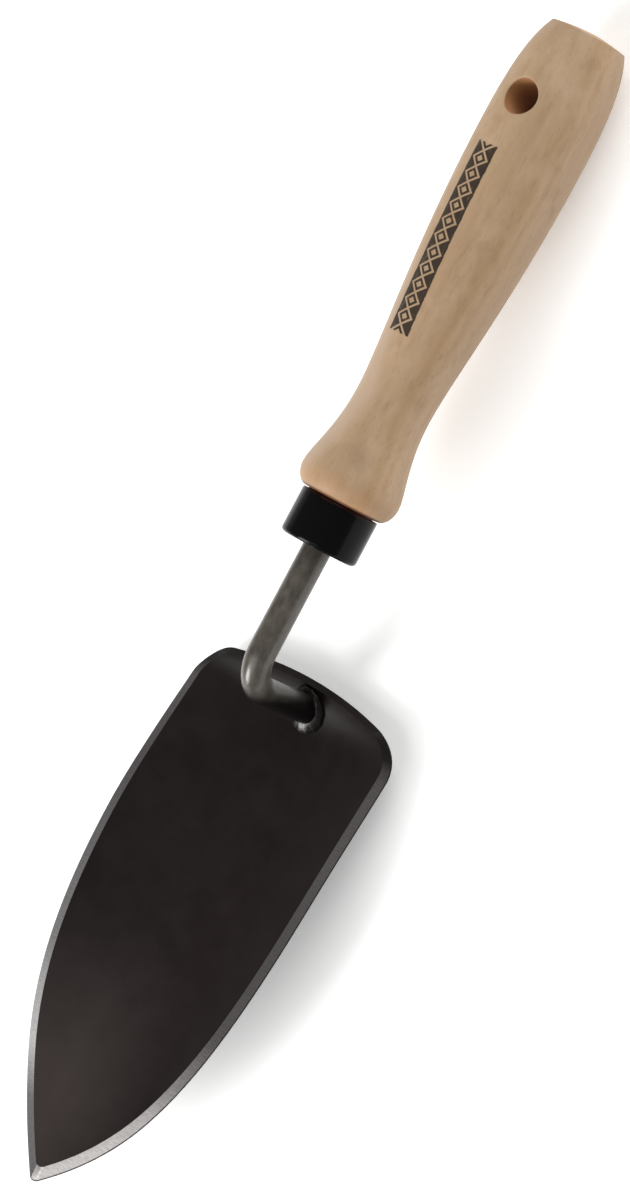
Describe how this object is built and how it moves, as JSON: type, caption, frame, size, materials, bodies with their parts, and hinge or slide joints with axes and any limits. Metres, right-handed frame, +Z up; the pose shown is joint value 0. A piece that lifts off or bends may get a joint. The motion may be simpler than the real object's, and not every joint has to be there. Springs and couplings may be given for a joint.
{
  "type": "transplanting trowel",
  "caption": "Hand trowel with a long dished steel blade, ground to an edge, on a cranked round shank, and a turned wooden handle with a hanging hole.",
  "frame": {"origin": "on the table, under the middle of the tool's length and width, as it lies at rest on the heel of its blade and the underside of its handle", "axes": "+Y along the table from the blade's tip to the handle's butt, +Z up, out of the hollow of the blade, and +X to the right for someone looking along +Y"},
  "size_m": [0.0712, 0.3394, 0.0434],
  "materials": {
    "blade": "satin",
    "shank": "satin",
    "weld_bead": "satin",
    "ferrule": "gloss",
    "handle": "satin"
  },
  "bodies": {
    "root": {"blade": "blade", "shank": "shank", "weld_bead": "weld_bead", "ferrule": "ferrule", "handle": "handle"}
  },
  "joints": []
}
